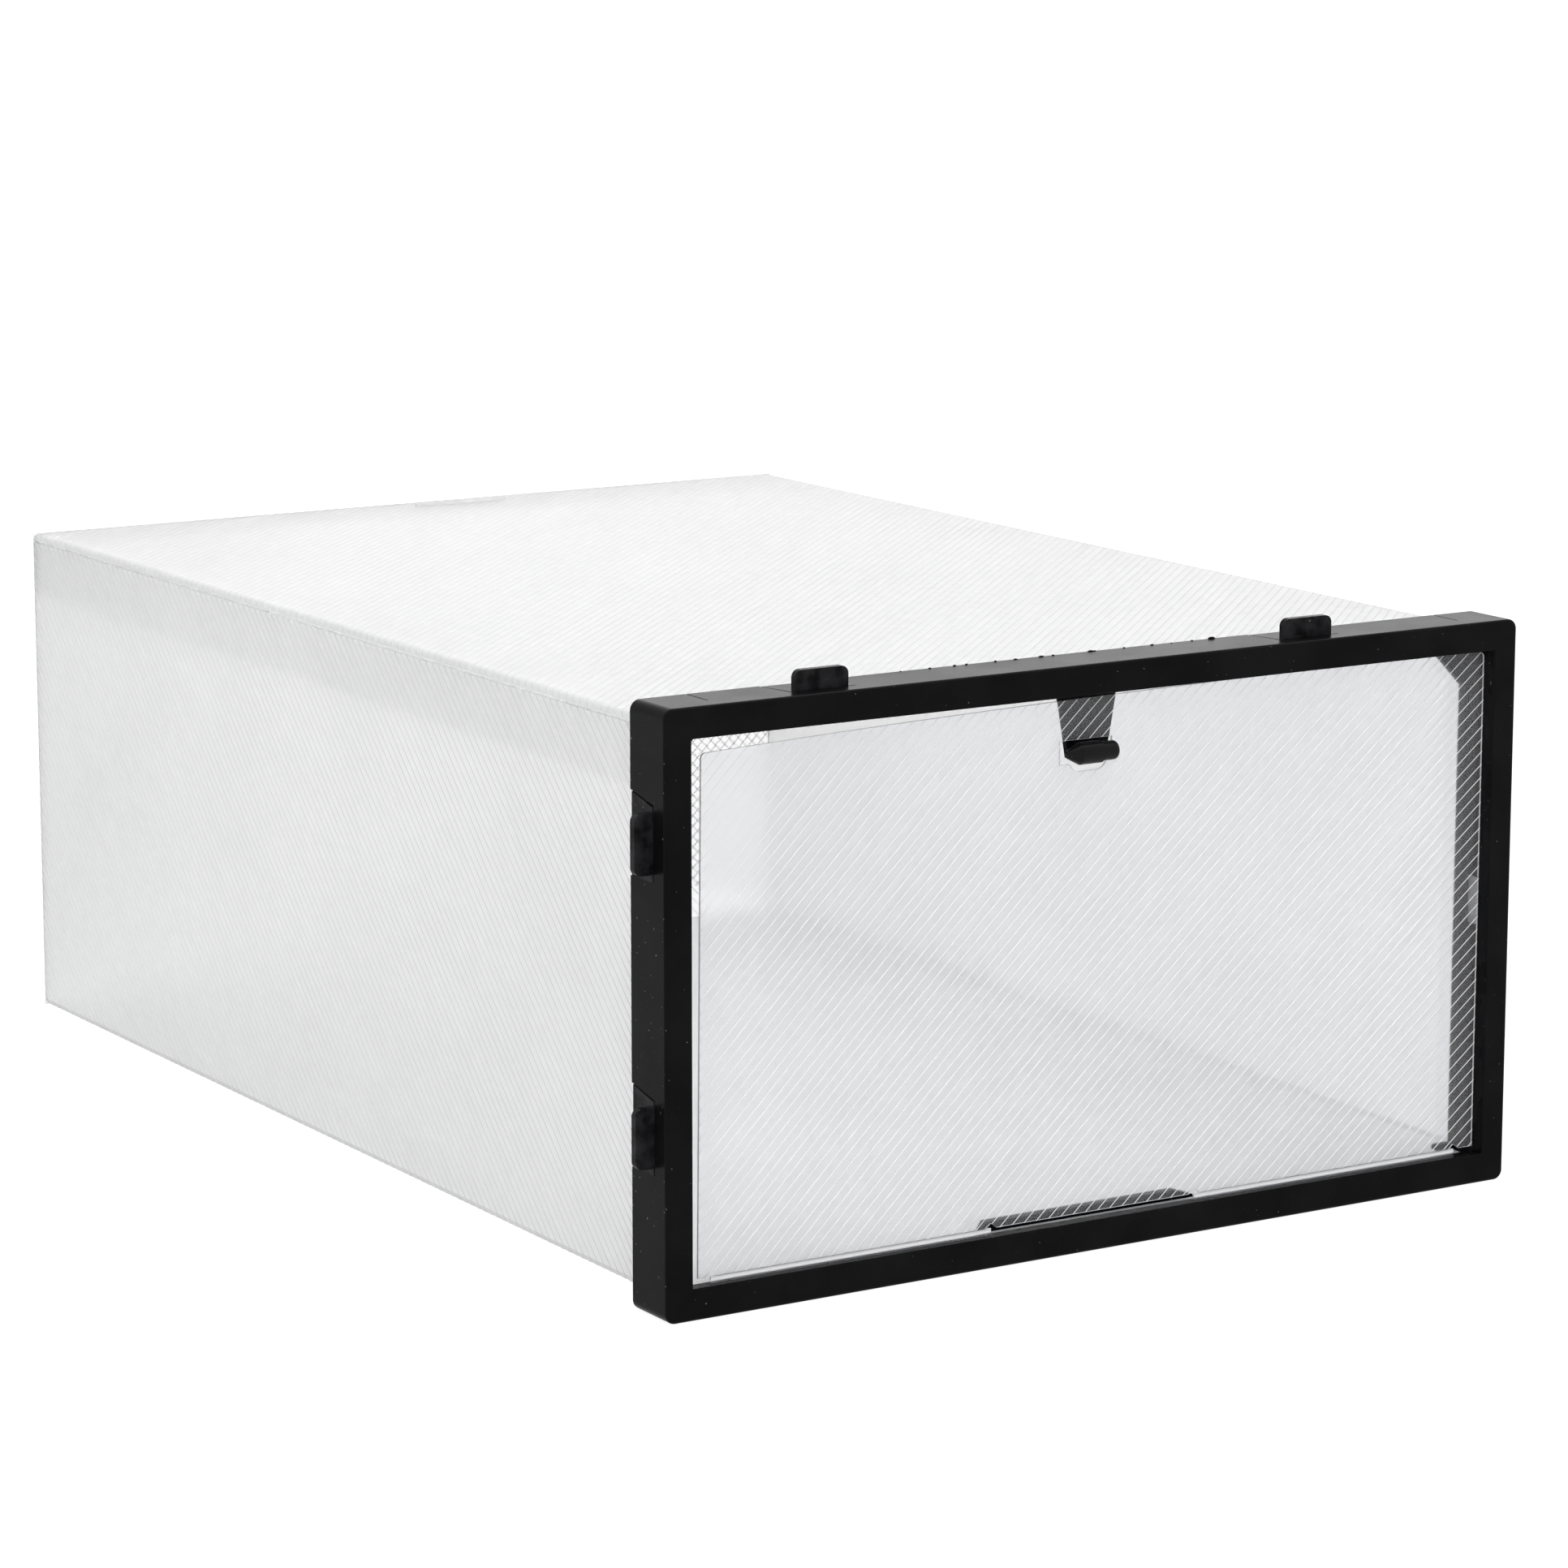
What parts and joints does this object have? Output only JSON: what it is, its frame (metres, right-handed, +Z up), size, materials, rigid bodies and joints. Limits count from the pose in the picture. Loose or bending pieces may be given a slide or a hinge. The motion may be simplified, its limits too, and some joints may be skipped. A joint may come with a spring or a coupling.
{
  "type": "drop-front shoe box",
  "caption": "Clear folding shoe box with a striped sheet sleeve, a black push-on front frame with connector tabs, and a drop-down door held by a latch.",
  "frame": {"origin": "under the middle of the overall box, on the surface that it stands on", "axes": "+X to the right as the door is faced, +Y to the back, +Z up"},
  "size_m": [0.2406, 0.3398, 0.1426],
  "materials": {
    "black_moulding": "satin moulded polypropylene",
    "body_sheet": "frosted clear plastic sheet with fine diagonal ribs",
    "door_sheet": "clear plastic sheet with diagonal ribs"
  },
  "bodies": {
    "root": {"frame_top_rail": "black_moulding", "frame_bottom_rail": "black_moulding", "frame_left_rail": "black_moulding", "frame_right_rail": "black_moulding", "frame_top_wall": "black_moulding", "frame_bottom_wall": "black_moulding", "frame_left_wall": "black_moulding", "frame_right_wall": "black_moulding", "frame_inner_top": "black_moulding", "frame_inner_left": "black_moulding", "frame_inner_right": "black_moulding", "frame_ledge": "black_moulding", "connector_top_left": "black_moulding", "connector_top_right": "black_moulding", "connector_side_upper": "black_moulding", "connector_side_lower": "black_moulding", "bottom_clip": "black_moulding", "body_top": "body_sheet", "body_bottom": "body_sheet", "body_left": "body_sheet", "body_right": "body_sheet", "body_lap_flap": "body_sheet", "back_panel": "body_sheet", "back_tuck_flap": "body_sheet", "back_lock_tongue": "body_sheet", "dust_flap_left": "body_sheet", "dust_flap_right": "body_sheet", "side_tongue_left": "body_sheet", "side_tongue_right": "body_sheet", "door_hinge_tab_left": "door_sheet", "door_hinge_tab_right": "door_sheet"},
    "door": {"door_panel": "door_sheet", "door_beside_hole_left": "door_sheet", "door_beside_hole_right": "door_sheet", "door_over_hole": "door_sheet"},
    "latch": {"latch_tongue": "black_moulding", "latch_bar": "black_moulding"}
  },
  "joints": [
    {"name": "door_hinge", "type": "hinge", "parent": "root", "child": "door", "pos_m": [0.0023, -0.1648, 0.0084], "axis": [1, 0, 0], "range_deg": [0, 90]},
    {"name": "latch_flex", "type": "hinge", "parent": "root", "child": "latch", "pos_m": [-0.0017, -0.16335, 0.1312], "axis": [1, 0, 0], "range_deg": [0, 8], "stiffness_Nm_per_rad": 0.02}
  ]
}
